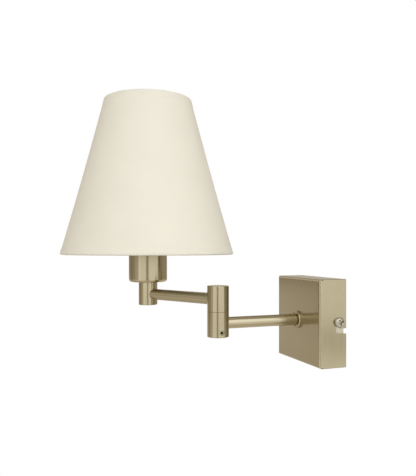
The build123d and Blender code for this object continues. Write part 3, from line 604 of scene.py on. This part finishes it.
def arc(centre_along, centre_depth, radius, first, last, steps=10):
    """Points on an arc in the slant's section; 0 degrees points up the slant and 90 points inwards."""
    points = []
    for step in range(steps + 1):
        angle = radians(first + (last - first) * step / steps)
        points.append((centre_along + radius * cos(angle), centre_depth + radius * sin(angle)))
    return points


def ribbon(path, thickness):
    """The closed outline of a strip of cloth whose middle follows the path."""
    sides = ([], [])
    for index, (along, depth) in enumerate(path):
        before = path[max(index - 1, 0)]
        after = path[min(index + 1, len(path) - 1)]
        run, rise = after[0] - before[0], after[1] - before[1]
        length = hypot(run, rise)
        across = (-rise / length * thickness / 2, run / length * thickness / 2)
        sides[0].append((along + across[0], depth + across[1]))
        sides[1].append((along - across[0], depth - across[1]))
    return sides[0] + sides[1][::-1]


WIRE_R = 1.2 * MM
WIRE_GAP = 0.08 * MM  # between the lining and the wire
HEM_GAP = 0.04 * MM  # between the turned-in cloth and what it lies on
WIRE_ALONG = HEM + WIRE_R
WIRE_DEPTH = CLOTH + GLUE + LINING + WIRE_GAP + WIRE_R
FOLD_R = CLOTH
FOLD_START = 0.5 * MM
FOOT_R = 1.2 * MM  # where the cloth leaves the wire and meets the lining
FOOT_ALONG = 3.6 * MM


def turned_hem(name, at_top, node):
    """The cloth folded over a rim, round the wire and glued down inside."""
    inner_face = CLOTH + GLUE + LINING + HEM_GAP + CLOTH / 2
    wrap = WIRE_R + HEM_GAP + CLOTH / 2
    path = [(HEM + FOLD_START, CLOTH / 2)]
    path += arc(HEM + CLOTH / 2, CLOTH / 2 + FOLD_R, FOLD_R, 270, 180)
    path += arc(WIRE_ALONG, WIRE_DEPTH, wrap, 180, 35, 16)
    path += arc(WIRE_ALONG + FOOT_ALONG, inner_face + FOOT_R, FOOT_R, 225, 270, 6)
    path += [(TUCK, inner_face)]
    if at_top:
        path = [(slant - along, depth) for along, depth in reversed(path)]
    hem = lathe(name, ribbon(path, CLOTH), shade_cloth_material, cloth_relief)
    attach(hem, "front_arm")
    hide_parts(node)
    return hem


base_hem = turned_hem("shade_base_roll", False, "shade_base_hem")
top_hem = turned_hem("shade_top_roll", True, "shade_top_hem")

SEAM_TURN = radians(110)  # on the wall side
SEAM_WIDTH = 6 * MM
SEAM_RISE = 0.3 * MM
SEAM_SQUARENESS = 8  # the higher, the flatter the strip's top and the steeper its sides
SEAM_COLUMNS = 10


def across_seam(along):
    """Points across the seam at one row: (angle about the lamp's axis, place from -1 to 1)."""
    radius, _ = on_cone(along, 0.0)
    parts = [2 * column / SEAM_COLUMNS - 1 for column in range(SEAM_COLUMNS + 1)]
    return [(SEAM_TURN + part * SEAM_WIDTH / 2 / radius, part) for part in parts]


def lap_seam():
    """The lap where the cloth's two ends are glued over each other: a low strip from rim to rim."""
    rows = rows_up_the_slant()
    vertices = []
    for along in rows:
        for turn, part in across_seam(along):
            rise = SEAM_RISE * (1 - part**SEAM_SQUARENESS)
            vertices.append(place_on_cone(turn, along, -(cloth_relief(turn, along) + rise)))
    for along in rows:
        for turn, _ in across_seam(along):
            vertices.append(place_on_cone(turn, along, CLOTH / 2))
    wide = SEAM_COLUMNS + 1
    under = wide * len(rows)
    faces = []
    for row in range(len(rows) - 1):
        for column in range(SEAM_COLUMNS):
            corner = row * wide + column
            top_face = (corner, corner + 1, corner + wide + 1, corner + wide)
            faces.append(top_face)
            faces.append(tuple(under + index for index in reversed(top_face)))
        for column in (0, SEAM_COLUMNS):
            corner = row * wide + column
            side = (corner, corner + wide, under + corner + wide, under + corner)
            faces.append(side if column == 0 else side[::-1])
    for row in (0, len(rows) - 1):
        for column in range(SEAM_COLUMNS):
            corner = row * wide + column
            end = (corner, under + corner, under + corner + 1, corner + 1)
            faces.append(end if row == 0 else end[::-1])
    seam = smooth_piece("shade_seam", vertices, faces, shade_cloth_material)
    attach(seam, "front_arm")
    return seam


seam = lap_seam()

# ---- Stage ------------------------------------------------------------------------------------

FLOOR_DROP = 0.9
FLOOR_HALF = 60.0
WHITE = (1.0, 1.0, 1.0, 1.0)


def glowing_panel(name, corners, colour, strength):
    """A flat panel with a light of its own that nothing else falls on."""
    material, _, glow = new_material(name, "ShaderNodeEmission")
    set_sockets(glow, {"Color": colour, "Strength": strength})
    mesh = bpy.data.meshes.new(name)
    mesh.from_pydata([tuple(corner) for corner in corners], [], [(0, 1, 2, 3)])
    mesh.materials.append(material)
    panel = bpy.data.objects.new(name, mesh)
    bpy.context.scene.collection.objects.link(panel)
    return panel


def hide_from(thing, *rays):
    """Keeps a stage object out of some kinds of ray."""
    for ray in rays:
        setattr(thing, "visible_" + ray, False)


def white_floor():
    """A pale floor far below the light."""
    level = cad_bounds[0].z - FLOOR_DROP
    signs = ((-1, -1), (1, -1), (1, 1), (-1, 1))
    corners = [Vector((x * FLOOR_HALF, y * FLOOR_HALF, level)) for x, y in signs]
    floor = glowing_panel("floor", corners, WHITE, 1.0)
    hide_from(floor, "glossy", "diffuse", "transmission")


white_floor()

CARD_HALF_WIDTH = 66 * MM
CARD_BACK = 20 * MM  # how far it stands behind the lens
CARD_LEFT = 35 * MM
CARD_DOWN = 550 * MM
CARD_UP = 130 * MM
CARD_TINT = (1.0, 0.87, 0.7, 1.0)
CARD_GLOW = 0.5


def lens_card(camera_place, to_camera, camera_right):
    """A dim card round the lens. Only the metal sees it: the gap between the two soft boxes."""
    side = camera_right * CARD_HALF_WIDTH
    middle = camera_place + to_camera * CARD_BACK - camera_right * CARD_LEFT
    low, high = UP * -CARD_DOWN, UP * CARD_UP
    corners = [middle - side + low, middle + side + low, middle + side + high, middle - side + high]
    card = glowing_panel("lens_card", corners, CARD_TINT, CARD_GLOW)
    hide_from(card, "camera", "diffuse", "shadow", "transmission")


# ---- Camera -----------------------------------------------------------------------------------

CAMERA_PLACE = (0.43638, -0.27175, 0.0639)
CAMERA_AZIMUTH = 69.84
CAMERA_LENS = 41.61
CAMERA_SHIFT = 0.0212

camera_data = bpy.data.cameras.new("camera")
camera = bpy.data.objects.new("camera", camera_data)
bpy.context.scene.collection.objects.link(camera)
camera.location = CAMERA_PLACE
camera.rotation_euler = (radians(90), 0, radians(CAMERA_AZIMUTH))
camera_data.sensor_width = 36.0
camera_data.lens = CAMERA_LENS
camera_data.shift_y = CAMERA_SHIFT
camera_data.clip_start = 0.01
camera_data.clip_end = 200.0
bpy.context.scene.camera = camera

view = bpy.context.scene.view_settings
view.view_transform = "Standard"
view.look = "None"

# ---- Light ------------------------------------------------------------------------------------

TO_CAMERA = Vector((sin(radians(CAMERA_AZIMUTH)), -cos(radians(CAMERA_AZIMUTH)), 0))
CAMERA_RIGHT = Vector((cos(radians(CAMERA_AZIMUTH)), sin(radians(CAMERA_AZIMUTH)), 0))

# Each soft box: azimuths to the right of the lens with the widths of their soft edges, elevations
# with theirs, and radiance. All angles are in degrees.
SOFT_BOXES = {
    "right": ((0, 64), (3, 8), (-7.5, 52), (3, 14), 0.84),
    "right top": ((0, 58), (3, 9), (16, 48), (18, 14), 0.54),
    "left": ((-48, -3), (8, 3), (-7.5, 52), (3, 14), 0.84),
    "left fill": ((-72, -48), (8, 8), (-7, 50), (3, 14), 0.26),
    "far left fill": ((-95, -72), (10, 8), (-7, 50), (3, 14), 0.10),
    "left top": ((-150, -50), (12, 12), (16, 50), (12, 14), 0.40),
    "right wall": ((88, 130), (5, 30), (-7, 60), (3, 14), 0.12),
    "flag": ((73, 82), (5, 5), (-7, 60), (3, 14), -0.18),
    "rear left, low": ((-178, -134), (2, 10), (-8.5, -4.2), (2, 1.6), 0.52),
    "rear left floor": ((-178, -100), (2, 20), (-60, -11), (20, 2.5), -0.17),
    "rear left, high": ((-178, -138), (2, 12), (8, 60), (10, 14), 0.12),
    "floor in front": ((-60, 90), (20, 20), (-24, -11.0), (10, 1.0), 0.38),
    "dark horizon": ((20, 90), (20, 20), (-9.6, -9.0), (0.8, 0.8), -0.45),
    "zenith": ((-181, 181), (1, 1), (70, 91), (14, 1), 0.28),
}
BACKDROP = ((166, 181), (10, 1), (-2, 14), (4, 12), 0.32)  # behind the lamp, on both sides alike
WALL = 0.36
FLOOR = 0.82
HORIZON = (-10.5, -8.3)
DIM_TINT = (1.0, 0.86, 0.68, 1.0)  # what is dim is warm, and what is bright is cool
BRIGHT_TINT = (1.0, 1.03, 1.08, 1.0)
DIM_TO_BRIGHT = (0.2, 1.6)


def studio_dome():
    """A white studio: two tall soft boxes either side of the lens, dim walls and a pale floor."""
    world = bpy.data.worlds.new("studio")
    bpy.context.scene.world = world
    world.use_nodes = True
    nodes = Nodes(world.node_tree, "ShaderNodeOutputWorld")
    direction = nodes.coordinates("Generated")
    ahead = nodes.vector("DOT_PRODUCT", direction, tuple(TO_CAMERA))
    sideways = nodes.vector("DOT_PRODUCT", direction, tuple(CAMERA_RIGHT))
    azimuth = nodes.math("ARCTAN2", sideways, ahead)
    elevation = nodes.math("ARCSINE", nodes.separate(direction)[2])

    def window(value, limits, softness):
        """1 between two angles, falling off over the given widths outside them."""
        low, high = limits
        rise = nodes.smooth(value, radians(low - softness[0]), radians(low))
        fall = nodes.smooth(value, radians(high), radians(high + softness[1]), 1.0, 0.0)
        return nodes.times(rise, fall)

    def soft_box(heading, azimuths, softness, elevations, elevation_softness, radiance):
        across = window(heading, azimuths, softness)
        upward = window(elevation, elevations, elevation_softness)
        return nodes.times(nodes.times(across, upward), radiance)

    total = nodes.smooth(elevation, radians(HORIZON[0]), radians(HORIZON[1]), FLOOR, WALL)
    for box in SOFT_BOXES.values():
        total = nodes.plus(total, soft_box(azimuth, *box))
    total = nodes.plus(total, soft_box(nodes.math("ABSOLUTE", azimuth), *BACKDROP))
    tint = nodes.mix_colour(nodes.smooth(total, *DIM_TO_BRIGHT), DIM_TINT, BRIGHT_TINT)
    is_camera = nodes.add("ShaderNodeLightPath").outputs["Is Camera Ray"]
    background = nodes.add("ShaderNodeBackground")
    nodes.link(nodes.mix_colour(is_camera, tint, WHITE), background.inputs["Color"])
    nodes.link(nodes.math("MAXIMUM", total, is_camera), background.inputs["Strength"])
    nodes.show(background)


# Each fill light: its direction from the lamp's head, its distance, its size and its energy.
FILL_LIGHTS = {
    "front fill": (TO_CAMERA + UP * 0.12, 1.2, 0.7, 3.5),
    "right fill": (TO_CAMERA * 0.3 + CAMERA_RIGHT * 0.95 + UP * 0.1, 1.2, 0.7, 2.9),
    "fill from below": (-UP, 1.0, 0.6, 16.0),
}


def fill_light(name, direction, distance, size, energy):
    """A large soft light that only matt surfaces show; metal doesn't mirror it."""
    light = bpy.data.lights.new(name, "AREA")
    light.shape = "SQUARE"
    light.size = size
    light.energy = energy
    lamp = bpy.data.objects.new(name, light)
    bpy.context.scene.collection.objects.link(lamp)
    lamp.location = head + direction.normalized() * distance
    lamp.rotation_euler = (head - lamp.location).to_track_quat("-Z", "Y").to_euler()
    hide_from(lamp, "glossy", "camera")


studio_dome()
lens_card(camera.location, TO_CAMERA, CAMERA_RIGHT)
for light_name, settings in FILL_LIGHTS.items():
    fill_light(light_name, *settings)
